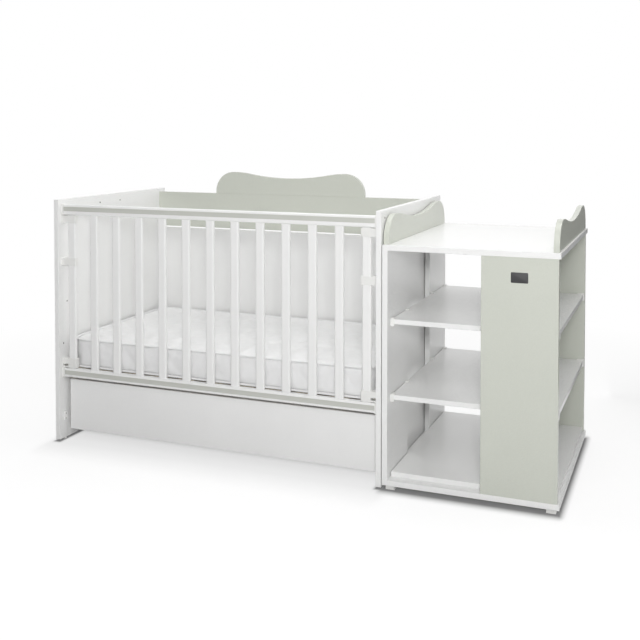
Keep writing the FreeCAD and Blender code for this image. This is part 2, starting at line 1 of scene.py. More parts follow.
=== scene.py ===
# %% [markdown]
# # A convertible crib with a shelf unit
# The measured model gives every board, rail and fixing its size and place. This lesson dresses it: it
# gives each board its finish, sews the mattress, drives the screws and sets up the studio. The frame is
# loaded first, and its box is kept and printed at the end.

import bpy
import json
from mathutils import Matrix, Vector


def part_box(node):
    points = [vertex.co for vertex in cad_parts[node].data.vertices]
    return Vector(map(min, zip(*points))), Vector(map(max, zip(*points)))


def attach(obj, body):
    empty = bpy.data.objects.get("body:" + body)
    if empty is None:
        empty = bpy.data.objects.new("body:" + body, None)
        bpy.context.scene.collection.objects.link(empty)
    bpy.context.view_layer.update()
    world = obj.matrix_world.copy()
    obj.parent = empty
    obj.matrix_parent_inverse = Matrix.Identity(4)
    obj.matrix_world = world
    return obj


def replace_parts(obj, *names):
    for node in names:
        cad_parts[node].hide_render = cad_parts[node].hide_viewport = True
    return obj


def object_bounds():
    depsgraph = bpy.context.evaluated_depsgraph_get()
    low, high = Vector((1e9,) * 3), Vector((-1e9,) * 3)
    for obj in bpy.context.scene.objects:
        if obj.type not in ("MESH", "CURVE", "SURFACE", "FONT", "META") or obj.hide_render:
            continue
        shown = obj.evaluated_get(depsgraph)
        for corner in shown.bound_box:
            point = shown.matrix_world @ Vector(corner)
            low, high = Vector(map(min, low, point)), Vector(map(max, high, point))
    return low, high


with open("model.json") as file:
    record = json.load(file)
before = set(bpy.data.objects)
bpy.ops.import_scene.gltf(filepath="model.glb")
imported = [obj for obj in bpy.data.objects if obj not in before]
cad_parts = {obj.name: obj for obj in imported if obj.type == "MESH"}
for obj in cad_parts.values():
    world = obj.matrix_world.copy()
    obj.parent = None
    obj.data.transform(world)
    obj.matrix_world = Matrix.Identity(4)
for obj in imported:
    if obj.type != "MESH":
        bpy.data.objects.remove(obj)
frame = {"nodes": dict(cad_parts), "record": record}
cad_box = [list(corner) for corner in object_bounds()]

import json
import math

import bmesh
import bpy
from mathutils import Vector

scene = bpy.context.scene
scene.view_settings.view_transform = "Standard"
print("frame", len(frame["nodes"]), "nodes", [round(high - low, 3) for low, high in zip(*cad_box)])

# %% [markdown]
# ## Camera
# The photograph was taken from the right, a little above the changing top, with upright lines kept
# upright. A lens shift does that: the camera looks almost level and the picture is taken from the lower
# part of its view. Tilting the camera down instead would make the boards lean.

# %% Place the camera
CAMERA_PLACE = (1.2653, -3.1954, 1.1612)
CAMERA_TILT = 88.07
CAMERA_TURN = 21.708
LENS = 52.53
LENS_SHIFT = -0.2519
SENSOR_WIDTH = 36.0


def add_object(name, data):
    """Object of a mesh, a curve, a lamp or a camera, linked to the scene."""
    made = bpy.data.objects.new(name, data)
    scene.collection.objects.link(made)
    return made


camera_data = bpy.data.cameras.new("camera")
camera_data.lens = LENS
camera_data.sensor_width = SENSOR_WIDTH
camera_data.shift_y = LENS_SHIFT
camera = add_object("camera", camera_data)
camera.location = CAMERA_PLACE
camera.rotation_euler = (math.radians(CAMERA_TILT), 0.0, math.radians(CAMERA_TURN))
scene.camera = camera
print("camera", [round(value, 3) for value in camera.location], "lens", camera_data.lens)

# %% [markdown]
# ## Small helpers for node trees
# A finish and a Geometry Nodes tree are both graphs of nodes, and each node could be added by hand. Short
# helpers are easier to read. The first adds a node with its settings and fills its inputs, where an input
# may be a plain value or the output of another node. The others wrap the nodes that come up most often.

# %% Node helpers
NOISE_LOW = 0.3
NOISE_HIGH = 0.7


def add_node(tree, kind, inputs=None, **settings):
    """New node with its settings; inputs maps a socket's name or number to a value or another socket."""
    made = tree.nodes.new(kind)
    for key, value in settings.items():
        setattr(made, key, value)
    for key, value in (inputs or {}).items():
        socket = made.inputs[key]
        if isinstance(value, bpy.types.NodeSocket):
            tree.links.new(value, socket)
        else:
            socket.default_value = value
    return made


def maths(tree, operation, first, second=0.0):
    """Output of a Math node."""
    return add_node(tree, "ShaderNodeMath", {0: first, 1: second}, operation=operation).outputs[0]


def remap(tree, value, low, high, start=NOISE_LOW, end=NOISE_HIGH):
    """Value between start and end spread over low to high; most noise lies between the usual two."""
    made = add_node(tree, "ShaderNodeMapRange", {
        "Value": value, "From Min": start, "From Max": end, "To Min": low, "To Max": high})
    return made.outputs[0]


def own_place(tree):
    """Where a point lies in the object's own coordinates."""
    return add_node(tree, "ShaderNodeTexCoord").outputs["Object"]


def stretched_place(tree, stretch):
    """The object's own coordinates, stretched along its axes."""
    return add_node(tree, "ShaderNodeMapping", {"Vector": own_place(tree), "Scale": stretch}).outputs[0]


def noise(tree, scale, detail=2.0, stretch=(1.0, 1.0, 1.0)):
    """Noise on the stretched coordinates of the object."""
    made = add_node(tree, "ShaderNodeTexNoise", {
        "Vector": stretched_place(tree, stretch), "Scale": scale, "Detail": detail})
    return made.outputs["Fac"]


def mix_colours(tree, factor, first, second):
    """Colour between two others; a Mix node keeps its two colours at sockets 6 and 7."""
    return add_node(tree, "ShaderNodeMix", {0: factor, 6: first, 7: second}, data_type="RGBA").outputs[2]


print("node helpers ready")

# %% [markdown]
# ## Small helpers for finishes
# A real surface is never quite even. Its colour drifts, its gloss changes from spot to spot, and light
# catches small bumps. A picture of the surface could give that, but it would repeat and would have to be
# kept with the file. Noise needs no picture, so each helper here ties one part of the shader to it.

# %% Finish helpers
def start_finish(name, roughness, **sockets):
    """New material with a Principled shader whose constant sockets are set directly."""
    material = bpy.data.materials.new(name)
    material.use_nodes = True
    tree = material.node_tree
    shader = tree.nodes["Principled BSDF"]
    shader.inputs["Roughness"].default_value = roughness
    for label, value in sockets.items():
        shader.inputs[label.replace("_", " ").title()].default_value = value
    return material, tree, shader


def vary_colour(tree, shader, value, colour, spread):
    """Base colour that drifts a little darker and lighter with a value."""
    dark = [part * (1 - spread) for part in colour] + [1.0]
    light = [min(part * (1 + spread), 1.0) for part in colour] + [1.0]
    mixed = mix_colours(tree, remap(tree, value, 0.0, 1.0), dark, light)
    tree.links.new(mixed, shader.inputs["Base Color"])
    return mixed


def vary_roughness(tree, shader, value, low, high):
    """Roughness that changes between two levels with a value."""
    tree.links.new(remap(tree, value, low, high), shader.inputs["Roughness"])


def raise_bump(tree, shader, value, depth, strength=1.0):
    """Bump of a real depth in metres."""
    made = add_node(tree, "ShaderNodeBump", {"Height": value, "Distance": depth, "Strength": strength})
    tree.links.new(made.outputs[0], shader.inputs["Normal"])


print("finish helpers ready")

# %% [markdown]
# ## Melamine boards
# The boards are chipboard faced with a hard melamine foil, white or pale sage, with a banded edge. The
# foil is pressed with a fine pebbled texture, so it mirrors the room only in a blur and shows no wood
# grain. Noise at about a millimetre makes the pebble, and a larger and fainter noise keeps the colour
# from being dead flat. The end panels are drilled, and a hole shows the brown chipboard inside, painted
# much darker than chipboard as painted shade for the depth of the hole. A point that lies well inside
# the panel's box can only be on a hole's wall, so a test of the coordinates is enough to find it.

# %% Melamine finishes
WHITE = (0.9, 0.9, 0.893)
SAGE = (0.625, 0.645, 0.578)
# Brown of chipboard, painted much darker as the shade inside the drilled holes.
SHADED_CHIPBOARD = (0.09, 0.075, 0.058, 1.0)
SKIN = Vector((0.0006, 0.028, 0.015))
PEBBLE_SCALE = 900.0
PEBBLE_DEPTH = 0.00002
CLOUD_SCALE = 6.0
CLOUD_SPREAD = 0.012
END_PANELS = ("left_end_panel", "right_end_panel")


def inside_box(tree, low, high):
    """1 where a point of the object lies inside a box, 0 elsewhere."""
    parts = add_node(tree, "ShaderNodeSeparateXYZ", {0: own_place(tree)}).outputs
    inside = 1.0
    for part, start, end in zip(parts, low, high):
        within = add_node(tree, "ShaderNodeMath", {0: part, 1: (start + end) / 2, 2: (end - start) / 2},
                          operation="COMPARE").outputs[0]
        inside = maths(tree, "MULTIPLY", inside, within)
    return inside


def melamine(name, colour, drilled_node=None):
    """Pebbled foil, with chipboard darkened by painted shade in the holes of a drilled panel."""
    material, tree, shader = start_finish(name, roughness=0.3)
    pebble = noise(tree, PEBBLE_SCALE)
    foil = vary_colour(tree, shader, noise(tree, CLOUD_SCALE, detail=3.0), colour, CLOUD_SPREAD)
    vary_roughness(tree, shader, pebble, low=0.22, high=0.32)
    raise_bump(tree, shader, pebble, PEBBLE_DEPTH)
    if drilled_node:
        low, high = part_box(drilled_node)
        # Hole walls take the chipboard brown, darkened as painted shade.
        core = inside_box(tree, low + SKIN, high - SKIN)
        tree.links.new(mix_colours(tree, core, foil, SHADED_CHIPBOARD), shader.inputs["Base Color"])
    return material


finishes = {
    "white_board": melamine("white melamine", WHITE),
    "green_board": melamine("sage melamine", SAGE),
}
drilled_finish = {node: melamine(f"white melamine {node}", WHITE, node) for node in END_PANELS}
print("melamine", sorted(finishes), sorted(drilled_finish))

# %% [markdown]
# ## Lacquered rails and slats
# The front side is solid wood under white lacquer. Sprayed lacquer fills most of the grain but lets long
# fibres show as a faint ripple, so the noise is stretched along the piece: upright for the slats,
# lengthwise for the rails. One function makes both, with the stretch as its only difference. The sage
# strips let into the rails are a matt foil with faint lines along it, made in the same way.

# %% Lacquer and inlay finishes
INLAY_SAGE = (0.585, 0.592, 0.55)
FIBRE_SCALE = 260.0
ALONG = 0.04


def lacquer(name, stretch):
    """Satin lacquer with a ripple of fibres along the piece."""
    material, tree, shader = start_finish(name, roughness=0.36)
    fibre = noise(tree, FIBRE_SCALE, detail=3.0, stretch=stretch)
    vary_colour(tree, shader, fibre, WHITE, spread=0.008)
    vary_roughness(tree, shader, fibre, low=0.3, high=0.42)
    raise_bump(tree, shader, fibre, depth=0.00005)
    return material


def inlay(name, colour):
    """Matt strip of foil with faint lines along it."""
    material, tree, shader = start_finish(name, roughness=0.6)
    streak = noise(tree, FIBRE_SCALE, stretch=(ALONG, 1.0, 1.0))
    vary_colour(tree, shader, streak, colour, spread=0.03)
    raise_bump(tree, shader, streak, depth=0.00003)
    return material


upright_lacquer = lacquer("white lacquer upright", (1.0, 1.0, ALONG))
finishes["white_lacquer"] = lacquer("white lacquer lengthwise", (ALONG, 1.0, 1.0))
finishes["green_strip"] = inlay("sage inlay", INLAY_SAGE)
print("lacquer and inlay ready")

# %% [markdown]
# ## Plastic, steel and nylon
# The brackets, caps and clips are moulded with a fine spark-eroded skin. The runners are powder coated,
# which leaves a soft orange peel, the screws are dull zinc plate, and the rollers are natural nylon. All
# of them are one colour under a fine skin, so one function makes them, and only the scale and depth of
# the skin, the roughness and the metal differ.

# %% Plastic and metal finishes
SKIN_SPREAD = 0.01
SKIN_GLOSS = 0.06


def moulded(name, colour, skin_scale, skin_depth, roughness, **sockets):
    """One even colour under a fine skin."""
    material, tree, shader = start_finish(name, roughness, **sockets)
    skin = noise(tree, skin_scale)
    vary_colour(tree, shader, skin, colour, SKIN_SPREAD)
    vary_roughness(tree, shader, skin, roughness - SKIN_GLOSS, roughness + SKIN_GLOSS)
    raise_bump(tree, shader, skin, skin_depth)
    return material


finishes["white_plastic"] = moulded("white moulded plastic", (0.84, 0.84, 0.82),
                                    skin_scale=2200.0, skin_depth=0.00003, roughness=0.4)
finishes["runner_steel"] = moulded("white powder coat", (0.82, 0.82, 0.81),
                                   skin_scale=700.0, skin_depth=0.00006, roughness=0.38)
finishes["roller_nylon"] = moulded("natural nylon", (0.78, 0.78, 0.73),
                                   skin_scale=1500.0, skin_depth=0.00002, roughness=0.42)
finishes["zinc_screw"] = moulded("zinc plate", (0.6, 0.6, 0.58),
                                 skin_scale=900.0, skin_depth=0.00002, roughness=0.34, metallic=1.0)
fixing_plate_finish = moulded("white fixing plate", (0.94, 0.94, 0.93),
                              skin_scale=2200.0, skin_depth=0.00003, roughness=0.3)
dark_metal = moulded("dark satin metal", (0.04, 0.04, 0.042),
                     skin_scale=1800.0, skin_depth=0.00002, roughness=0.5, metallic=0.2)
print("moulded finishes", sorted(finishes))

# %% [markdown]
# ## Bare wood under the mattress
# The slatted base is planed softwood with no paint. Growth rings are cut at a shallow angle, so they run
# as long bands: a Wave texture squeezed along the piece and bent by noise gives the bands, and a finer
# stretched noise gives the fibres.

# %% Bare wood finishes
SOFTWOOD = (0.72, 0.63, 0.49)
RING_SCALE = 34.0
RING_SHARE = 0.65
GRAIN_SCALE = 420.0


def softwood(name, stretch):
    """Planed wood with growth rings and fibres along the piece."""
    material, tree, shader = start_finish(name, roughness=0.62)
    rings = add_node(tree, "ShaderNodeTexWave", {
        "Vector": stretched_place(tree, stretch), "Scale": RING_SCALE,
        "Distortion": 5.0, "Detail": 2.0, "Detail Scale": 1.4},
        wave_type="BANDS", bands_direction="DIAGONAL")
    fibre = noise(tree, GRAIN_SCALE, detail=3.0, stretch=stretch)
    both = maths(tree, "ADD", maths(tree, "MULTIPLY", rings.outputs["Fac"], RING_SHARE),
                 maths(tree, "MULTIPLY", fibre, 1 - RING_SHARE))
    vary_colour(tree, shader, both, SOFTWOOD, spread=0.1)
    raise_bump(tree, shader, both, depth=0.00012)
    return material


finishes["bare_wood"] = softwood("bare softwood across", (1.0, ALONG, 1.0))
lengthwise_softwood = softwood("bare softwood lengthwise", (ALONG, 1.0, 1.0))
print("bare wood ready")

# %% [markdown]
# ## Finish every measured node
# The record says which finish each node has, so a loop can dress them all. The slats and the long bearers
# take the version whose grain runs along them, and the drilled end panels and the fixing plates their
# own.

# %% Dress the nodes
node_finish = {row["node"]: finishes.get(row["material_slot"]) for row in frame["record"]["subparts"]}
for name in node_finish:
    if name.startswith("front_slat"):
        node_finish[name] = upright_lacquer
node_finish["base_bearers"] = lengthwise_softwood
node_finish["fixing_plates"] = fixing_plate_finish
node_finish.update(drilled_finish)
for name, material in node_finish.items():
    for slot in frame["nodes"][name].material_slots:
        slot.material = material or finishes["white_board"]
print("dressed", len(node_finish), "nodes")

# %% [markdown]
# ## Where the small fixings sit
# The screws, the bolts and the fixing plates are each one node of several loose solids. A solid's box
# tells where one of them sits. The places could be typed in, but then they would not follow the measured
# model, so the node's mesh is split into its islands and each island gives a low and a high corner.

# %% Boxes of loose solids
MERGE_DISTANCE = 1e-6


def solid_boxes(node):
    """Low and high corner of each loose solid in a node, in a fixed order."""
    solid = bmesh.new()
    solid.from_mesh(frame["nodes"][node].data)
    bmesh.ops.remove_doubles(solid, verts=solid.verts, dist=MERGE_DISTANCE)
    waiting = set(solid.verts)
    boxes = []
    while waiting:
        group = [waiting.pop()]
        for vertex in group:
            for edge in vertex.link_edges:
                other = edge.other_vert(vertex)
                if other in waiting:
                    waiting.remove(other)
                    group.append(other)
        low = Vector([min(vertex.co[axis] for vertex in group) for axis in range(3)])
        high = Vector([max(vertex.co[axis] for vertex in group) for axis in range(3)])
        boxes.append((low, high))
    solid.free()
    return sorted(boxes, key=lambda corners: [round(value, 4) for value in corners[0]])


screw_boxes = solid_boxes("side_screws")
bolt_boxes = solid_boxes("linking_bolts")
plate_boxes = solid_boxes("fixing_plates")
print("screws", len(screw_boxes), "bolts", len(bolt_boxes), "fixing plates", len(plate_boxes))

# %% [markdown]
# ## Screws and bolts by Geometry Nodes
# Fixings repeat, so one tree makes the shape once and places it on points. A fixing here has a domed head
# with a recess cut by a Boolean: a cross for the screws of the brackets and the fixing plates, a hexagon
# for the linking bolts. Each point carries the way that its fixing looks, and Align Rotation to Vector
# turns the instance to it. The result is turned into a plain mesh, which can be handed on without its
# tree.

# %% Geometry Nodes helpers
def start_tree(name, inputs):
    """New tree with a geometry in and out, and named inputs given as name: (kind, value)."""
    tree = bpy.data.node_groups.new(name, "GeometryNodeTree")
    tree.interface.new_socket("Geometry", in_out="INPUT", socket_type="NodeSocketGeometry")
    tree.interface.new_socket("Geometry", in_out="OUTPUT", socket_type="NodeSocketGeometry")
    for label, (kind, value) in inputs.items():
        socket = tree.interface.new_socket(label, in_out="INPUT", socket_type=f"NodeSocket{kind}")
        if value is not None:
            socket.default_value = value
    group_in = tree.nodes.new("NodeGroupInput")
    return tree, group_in.outputs


def end_tree(tree, geometry, material):
    """Realize the instances, set the material and send the mesh out."""
    real = add_node(tree, "GeometryNodeRealizeInstances", {0: geometry})
    painted = add_node(tree, "GeometryNodeSetMaterial", {"Geometry": real.outputs[0], "Material": material})
    group_out = tree.nodes.new("NodeGroupOutput")
    tree.links.new(painted.outputs[0], group_out.inputs["Geometry"])


def applied_mesh(piece):
    """Plain mesh of a piece as its modifiers leave it."""
    graph = bpy.context.evaluated_depsgraph_get()
    return bpy.data.meshes.new_from_object(piece.evaluated_get(graph), depsgraph=graph)


def run_tree(name, base, tree, values):
    """Plain mesh object of what the tree makes from a base mesh or curve."""
    carrier = add_object(f"{name}_carrier", base)
    modifier = carrier.modifiers.new("nodes", "NODES")
    modifier.node_group = tree
    for item in tree.interface.items_tree:
        if item.in_out == "INPUT" and item.name in values:
            modifier[item.identifier] = values[item.name]
    mesh = applied_mesh(carrier)
    mesh.name = name
    bpy.data.objects.remove(carrier)
    return add_object(name, mesh)


def points_mesh(name, places, ways):
    """Mesh of loose points, each with the way that its fixing looks."""
    mesh = bpy.data.meshes.new(name)
    mesh.from_pydata([tuple(place) for place in places], [], [])
    looks = mesh.attributes.new("way", "FLOAT_VECTOR", "POINT")
    for item, way in zip(looks.data, ways):
        item.vector = way
    return mesh


def smooth_by_angle(piece, degrees=40.0):
    """Smooth faces that meet at less than an angle and keep sharper edges crisp."""
    mesh = piece.data
    mesh.polygons.foreach_set("use_smooth", [True] * len(mesh.polygons))
    mesh.set_sharp_from_angle(angle=math.radians(degrees))


print("Geometry Nodes helpers ready")

# %% Recesses of the heads
CROSS_REACH = 1.1


def lifted(tree, geometry, height):
    """Geometry moved up by a height."""
    rise = add_node(tree, "ShaderNodeCombineXYZ", {2: height})
    moved = add_node(tree, "GeometryNodeTransform", {"Geometry": geometry, "Translation": rise.outputs[0]})
    return moved.outputs[0]


def united(tree, parts):
    """Union of closed meshes."""
    joined = add_node(tree, "GeometryNodeMeshBoolean", operation="UNION")
    for part in parts:
        tree.links.new(part, joined.inputs[1])
    return joined.outputs[0]


def cut_cross(tree, sockets):
    """Two crossed bars that sink into the top of a head."""
    width = sockets["Recess width"]
    reach = maths(tree, "MULTIPLY", sockets["Head radius"], CROSS_REACH)
    bars = []
    for size_x, size_y in ((reach, width), (width, reach)):
        size = add_node(tree, "ShaderNodeCombineXYZ", {
            0: size_x, 1: size_y, 2: maths(tree, "MULTIPLY", sockets["Recess depth"], 2.0)})
        bars.append(add_node(tree, "GeometryNodeMeshCube", {"Size": size.outputs[0]}).outputs[0])
    return united(tree, bars)


def cut_hexagon(tree, sockets):
    """Six-sided socket that sinks into the top of a head."""
    return add_node(tree, "GeometryNodeMeshCylinder", {
        "Vertices": 6, "Radius": sockets["Recess width"],
        "Depth": maths(tree, "MULTIPLY", sockets["Recess depth"], 2.0)}).outputs[0]


print("cross and hexagon recesses ready")

# %% Tree of a headed fixing
HEAD_SIDES = 32
SHANK_SIDES = 20
RIM_SHARE = 0.45
DOME_TAPER = 0.78
FIXING_SIZES = {
    "Head radius": 0.003, "Head height": 0.002, "Shank radius": 0.0015, "Shank length": 0.01,
    "Recess width": 0.001, "Recess depth": 0.001}


def fixing_tree(name, cutter):
    """Tree that sets a fixing with a recessed, domed head on each point."""
    inputs = {label: ("Float", size) for label, size in FIXING_SIZES.items()}
    tree, sockets = start_tree(name, {**inputs, "Material": ("Material", None)})
    radius, height, length = sockets["Head radius"], sockets["Head height"], sockets["Shank length"]
    rim_height = maths(tree, "MULTIPLY", height, RIM_SHARE)
    rim = add_node(tree, "GeometryNodeMeshCylinder", {
        "Vertices": HEAD_SIDES, "Radius": radius, "Depth": rim_height})
    dome = add_node(tree, "GeometryNodeMeshCone", {
        "Vertices": HEAD_SIDES, "Side Segments": 1, "Radius Bottom": radius,
        "Radius Top": maths(tree, "MULTIPLY", radius, DOME_TAPER),
        "Depth": maths(tree, "MULTIPLY", height, 1 - RIM_SHARE)})
    head = united(tree, (lifted(tree, rim.outputs[0], maths(tree, "MULTIPLY", rim_height, 0.5)),
                         lifted(tree, dome.outputs[0], rim_height)))
    recess = lifted(tree, cutter(tree, sockets), height)
    cut_head = add_node(tree, "GeometryNodeMeshBoolean", {0: head, 1: recess}, operation="DIFFERENCE")
    shank = add_node(tree, "GeometryNodeMeshCylinder", {
        "Vertices": SHANK_SIDES, "Radius": sockets["Shank radius"], "Depth": length})
    shank_placed = lifted(tree, shank.outputs[0], maths(tree, "MULTIPLY", length, -0.5))
    whole = tree.nodes.new("GeometryNodeJoinGeometry")
    for part in (cut_head.outputs[0], shank_placed):
        tree.links.new(part, whole.inputs[0])
    way = add_node(tree, "GeometryNodeInputNamedAttribute", {"Name": "way"}, data_type="FLOAT_VECTOR")
    turn = add_node(tree, "FunctionNodeAlignRotationToVector", {"Vector": way.outputs[0]}, axis="Z")
    placed = add_node(tree, "GeometryNodeInstanceOnPoints", {
        "Points": sockets["Geometry"], "Instance": whole.outputs[0], "Rotation": turn.outputs[0]})
    end_tree(tree, placed.outputs[0], sockets["Material"])
    return tree


cross_tree = fixing_tree("cross screw", cut_cross)
socket_tree = fixing_tree("socket bolt", cut_hexagon)
print("fixing trees", len(cross_tree.nodes), "and", len(socket_tree.nodes), "nodes")

# %% Drive the screws and bolts
BRACKET_HEAD = 0.0018
BRACKET_SCREW = {"Shank radius": 0.0015, "Recess width": 0.0008, "Recess depth": 0.0011}
BOLT_HEAD = 0.0025
LINKING_BOLT = {"Shank radius": 0.003, "Recess width": 0.0028, "Recess depth": 0.0018}


def set_fixings(name, seats, ways, tree, sizes):
    """Fixings of one kind on their seats."""
    values = {**sizes, "Material": finishes["zinc_screw"]}
    piece = run_tree(name, points_mesh(f"{name}_points", seats, ways), tree, values)
    smooth_by_angle(piece)
    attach(piece, "frame")
    print(name, len(seats), "fixings", len(piece.data.polygons), "faces")
    return piece


def seat_on(low, high, way, sink):
    """Middle of the side of a box that looks a way, sunk below it."""
    middle = (low + high) / 2
    face = high.x if way.x > 0 else low.x
    return Vector((face - way.x * sink, middle.y, middle.z))


def drive(name, node, boxes, ways, head_height, tree, sizes):
    """Fixings with their heads where the node's solids have them."""
    seats = [seat_on(low, high, way, head_height) for (low, high), way in zip(boxes, ways)]
    low, high = boxes[0]
    values = dict(sizes)
    values["Head radius"] = (high.y - low.y) / 2
    values["Head height"] = head_height
    values["Shank length"] = high.x - low.x - head_height
    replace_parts(set_fixings(name, seats, ways, tree, values), node)


crib_middle_x = sum(corner.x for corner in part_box("back_board")) / 2


def inward(corner):
    """The way along the crib from a corner of a box to the middle."""
    return Vector((1.0 if corner.x < crib_middle_x else -1.0, 0.0, 0.0))


screw_ways = [inward(low) for low, high in screw_boxes]
bolt_ways = [Vector((-1.0, 0.0, 0.0))] * len(bolt_boxes)
drive("bracket_screws", "side_screws", screw_boxes, screw_ways, BRACKET_HEAD, cross_tree, BRACKET_SCREW)
drive("linking_bolt_set", "linking_bolts", bolt_boxes, bolt_ways, BOLT_HEAD, socket_tree, LINKING_BOLT)

# %% Screw the fixing plates down
PLATE_SCREW_SPACING = 0.018
PLATE_SCREW_SINK = 0.0009
PLATE_SCREW = {
    "Head radius": 0.0036, "Head height": 0.0012, "Shank radius": 0.0018, "Shank length": 0.003,
    "Recess width": 0.0011, "Recess depth": 0.0009}
plate_seats = []
plate_ways = []
for low, high in plate_boxes:
    way = inward(low)
    seat = seat_on(low, high, way, PLATE_SCREW_SINK)
    for half in (-0.5, 0.5):
        plate_seats.append(seat + Vector((0.0, 0.0, half * PLATE_SCREW_SPACING)))
        plate_ways.append(way)
set_fixings("plate_screws", plate_seats, plate_ways, cross_tree, PLATE_SCREW)

# %% [markdown]
# ## Mattress: the form
# The mattress is foam in a quilted cotton cover. Its sides bow in a little between round corners, and the
# top rises in a low crown. A stretched cube could stand for it, but it would look hard. Here a stack of
# outlines, each a little further in or out, is lofted into a closed form that starts smaller than the
# finished mattress, because the quilting puffs it out.

# %% Loft the mattress form
CORNER_RADIUS = 0.06
SMALLEST_RADIUS = 0.01
DRAW_IN = 0.0006
CORNER_STEPS = 10
SIDE_STEPS = 24
# Each section is an inset and a height above the slats.
MATTRESS_SECTIONS = (
    (0.010, 0.000), (0.003, 0.003), (0.002, 0.010), (0.004, 0.030), (0.005, 0.082), (0.004, 0.098),
    (0.007, 0.104), (0.016, 0.1065), (0.050, 0.1095), (0.090, 0.1115), (0.130, 0.1125), (0.220, 0.113))
mattress_low, mattress_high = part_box("mattress")
mattress_middle = (mattress_low + mattress_high) / 2
mattress_size = mattress_high - mattress_low


def mattress_outline(inset):
    """Points round the mattress: bowed sides joined by round corners."""
    half_x = mattress_size.x / 2 - inset
    half_y = mattress_size.y / 2 - inset
    radius = max(CORNER_RADIUS - inset, SMALLEST_RADIUS)
    points = []
    for turn in range(4):
        along, across = (half_x, half_y) if turn % 2 == 0 else (half_y, half_x)
        quarter = math.radians(90 * turn)
        corner = []
        for step in range(SIDE_STEPS):
            part = 2 * step / SIDE_STEPS - 1
            corner.append((along - DRAW_IN * (1 - part * part), part * (across - radius)))
        for step in range(CORNER_STEPS):
            angle = math.radians(90 * step / CORNER_STEPS)
            corner.append((along - radius + radius * math.cos(angle),
                           across - radius + radius * math.sin(angle)))
        for x, y in corner:
            points.append((mattress_middle.x + x * math.cos(quarter) - y * math.sin(quarter),
                           mattress_middle.y + x * math.sin(quarter) + y * math.cos(quarter)))
    return points


form = bmesh.new()
rings = []
for inset, height in MATTRESS_SECTIONS:
    level = mattress_low.z + height
    rings.append([form.verts.new((x, y, level)) for x, y in mattress_outline(inset)])
for lower, upper in zip(rings, rings[1:]):
    for index in range(len(lower)):
        following = (index + 1) % len(lower)
        form.faces.new((lower[index], lower[following], upper[following], upper[index]))
form.faces.new(list(reversed(rings[0])))
form.faces.new(rings[-1])
bmesh.ops.recalc_face_normals(form, faces=form.faces)
mattress_mesh = bpy.data.meshes.new("mattress_cover")
form.to_mesh(mattress_mesh)
form.free()
mattress = add_object("mattress_cover", mattress_mesh)
print("mattress form", [round(value, 3) for value in mattress_size])

# %% [markdown]
# ## Mattress: where the quilting holds
# The cover is quilted in rows of waves that meet their neighbours, which leaves leaf-shaped pillows. The
# lines run on down the sides, so a point on a side is first unfolded to the level of the top. A voxel
# remesh makes even cells, because a cloth puffs best on them, and the cells on the stitch lines, at the
# piped edge and on the slats are pinned.

# %% Quilt lines
ROW_PITCH = 0.075
WAVE_LENGTH = 0.17
WAVE_HEIGHT = 0.034
STITCH_BAND = 0.005
SIDE_BAND = 0.03
EDGE_HEIGHT = 0.1065
BASE_BAND = 0.012
SEAM_HEIGHT = 0.101
SEAM_BAND = 0.006
edge_top = mattress_low.z + EDGE_HEIGHT


def row_offset(row, along):
    """How far across the mattress a row's stitch line lies at a point along it."""
    side = 1 if row % 2 == 0 else -1
    return row * ROW_PITCH + side * WAVE_HEIGHT * math.sin(2 * math.pi * along / WAVE_LENGTH)


def quilt_distance(point):
    """Distance from a point on the cover to the nearest stitch line, unfolded over the sides."""
    across = point.y - mattress_middle.y
    along = point.x - mattress_middle.x
    drop = max(edge_top - point.z, 0.0)
    if point.y < mattress_low.y + SIDE_BAND:
        across -= drop
    elif point.y > mattress_high.y - SIDE_BAND:
        across += drop
    elif abs(along) > mattress_size.x / 2 - SIDE_BAND:
        along += math.copysign(drop, along)
    slope = WAVE_HEIGHT * 2 * math.pi / WAVE_LENGTH * math.cos(2 * math.pi * along / WAVE_LENGTH)
    row = math.floor(across / ROW_PITCH)
    nearest = min(abs(across - row_offset(index, along)) for index in range(row - 1, row + 3))
    return nearest / math.sqrt(1 + slope * slope)


def held(point):
    """True where the cover is stitched or piped, or lies on the slats."""
    height = point.z - mattress_low.z
    if height < BASE_BAND or abs(height - SEAM_HEIGHT) < SEAM_BAND:
        return True
    return quilt_distance(point) < STITCH_BAND


print("quilt rows every", ROW_PITCH, "m, waves of", WAVE_LENGTH, "m")

# %% Even cells and pins
VOXEL = 0.009
remesh = mattress.modifiers.new("remesh", "REMESH")
remesh.mode = "VOXEL"
remesh.voxel_size = VOXEL
even_mesh = applied_mesh(mattress)
mattress.modifiers.clear()
mattress.data = even_mesh
start_points = [vertex.co.copy() for vertex in even_mesh.vertices]
pinned = [index for index, point in enumerate(start_points) if held(point)]
pins = mattress.vertex_groups.new(name="stitched")
pins.add(pinned, 1.0, "REPLACE")
print("cover", len(start_points), "points", len(pinned), "pinned")

# %% [markdown]
# ## Mattress: puffed pillows
# Between the stitches the filling pushes the cloth out. A short cloth simulation with air pressure gives
# the small pulls and creases that a formula would miss. The cloth is cut a little larger than the form,
# by a negative shrink, because tight cloth hardly rises. A cap keeps the pillows shallow.

# %% Puff the cover
AIR_PRESSURE = 4.0
CLOTH_FRAMES = 20
SPARE_CLOTH = 0.013
PUFF_LIMIT = 0.0065


